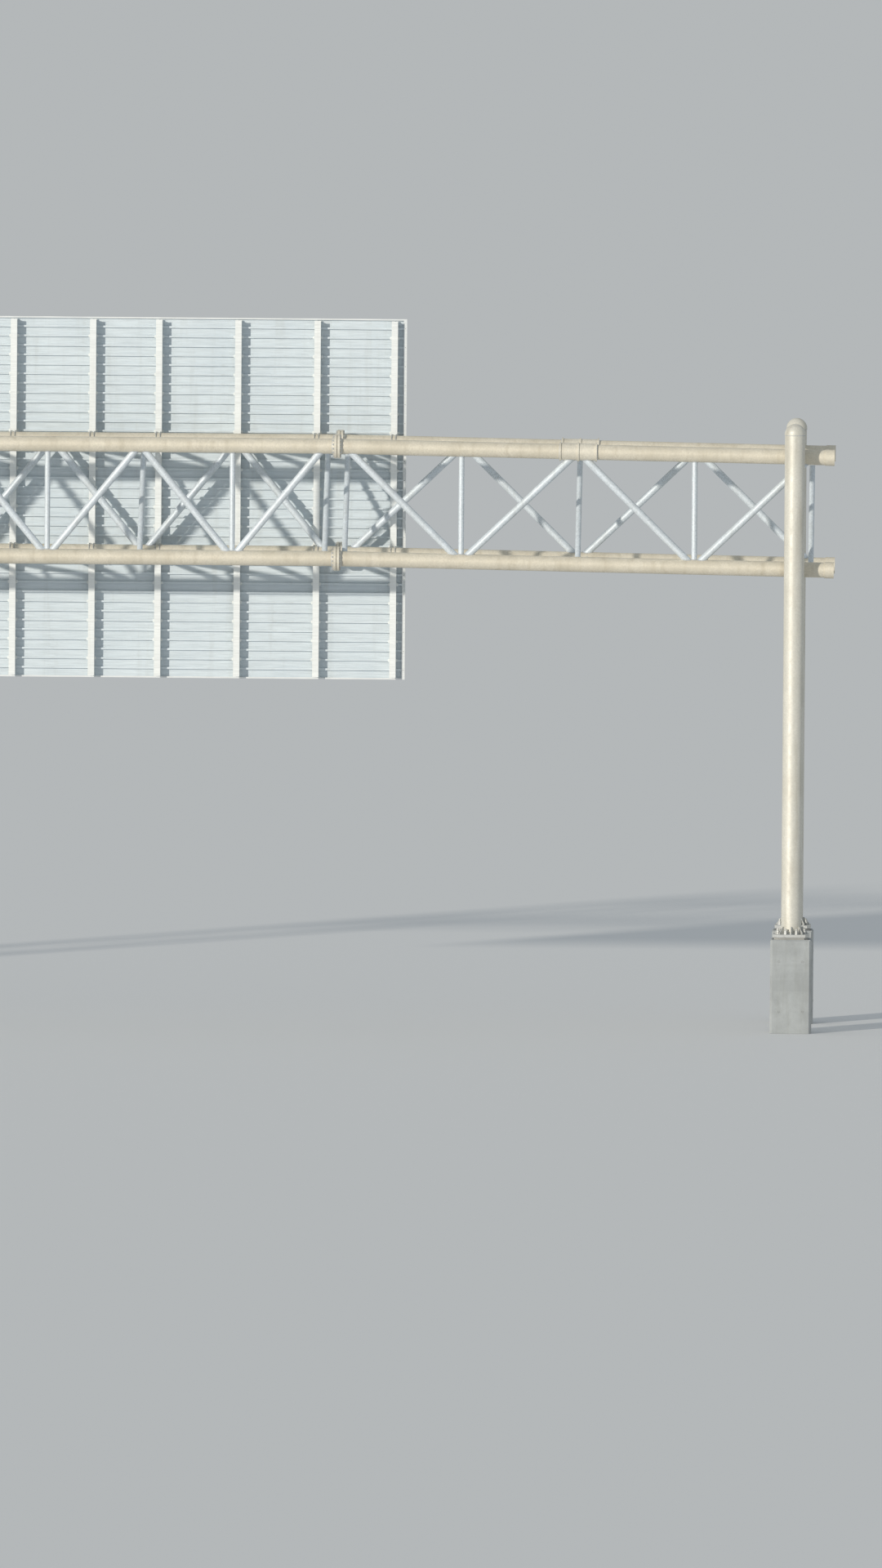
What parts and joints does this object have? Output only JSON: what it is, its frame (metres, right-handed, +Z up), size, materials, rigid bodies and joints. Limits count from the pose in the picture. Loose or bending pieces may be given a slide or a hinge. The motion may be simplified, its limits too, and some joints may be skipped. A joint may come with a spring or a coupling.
{
  "type": "overhead sign gantry",
  "caption": "Cambered tubular box-truss gantry on twin posts and concrete pedestals, spanning a road and carrying a wide ribbed sign on its far side.",
  "frame": {"origin": "on the ground, midway between the four pedestals", "axes": "+X along the span, +Y across it towards the sign face, +Z up"},
  "size_m": [28.1438, 3.2284, 11.2746],
  "materials": {
    "concrete": "cast concrete, board-smooth and weathered",
    "grout": "trowelled grout",
    "base_steel": "hot-dip galvanised, dull",
    "post_steel": "hot-dip galvanised, weathered",
    "bracing_steel": "hot-dip galvanised, dull",
    "beam_steel": "hot-dip galvanised, dull",
    "fitting_steel": "hot-dip galvanised, spangled",
    "chord_steel": "hot-dip galvanised, weathered",
    "web_steel": "hot-dip galvanised, spangled",
    "panel_aluminium": "mill-finish extrusion, matt",
    "trim_aluminium": "mill-finish extrusion, satin",
    "support_aluminium": "mill-finish extrusion, satin"
  },
  "bodies": {
    "root": {"pedestal_left_near": "concrete", "pedestal_left_far": "concrete", "pedestal_right_near": "concrete", "pedestal_right_far": "concrete", "grout_pads": "grout", "base_plates_left": "base_steel", "base_plates_right": "base_steel", "post_left_near": "post_steel", "post_left_far": "post_steel", "post_right_near": "post_steel", "post_right_far": "post_steel", "post_caps": "post_steel", "post_bracing_left": "bracing_steel", "post_bracing_right": "bracing_steel", "seat_beams": "beam_steel", "tie_beams": "beam_steel", "saddles": "fitting_steel", "chord_straps": "fitting_steel", "inner_splice_flanges": "fitting_steel", "outer_splice_flanges": "fitting_steel", "node_sleeves": "fitting_steel", "sign_seats": "fitting_steel", "chords_left": "chord_steel", "chords_middle": "chord_steel", "chords_right": "chord_steel", "chord_end_plates": "chord_steel", "near_web_left": "web_steel", "near_web_middle": "web_steel", "near_web_right": "web_steel", "far_web_left": "web_steel", "far_web_middle": "web_steel", "far_web_right": "web_steel", "upper_web_left": "web_steel", "upper_web_middle": "web_steel", "upper_web_right": "web_steel", "lower_web_left": "web_steel", "lower_web_middle": "web_steel", "lower_web_right": "web_steel", "cross_braces_left": "web_steel", "cross_braces_middle": "web_steel", "cross_braces_right": "web_steel", "sign_panels": "panel_aluminium", "sign_edge_trim": "trim_aluminium", "sign_support_beams": "support_aluminium"}
  },
  "joints": []
}
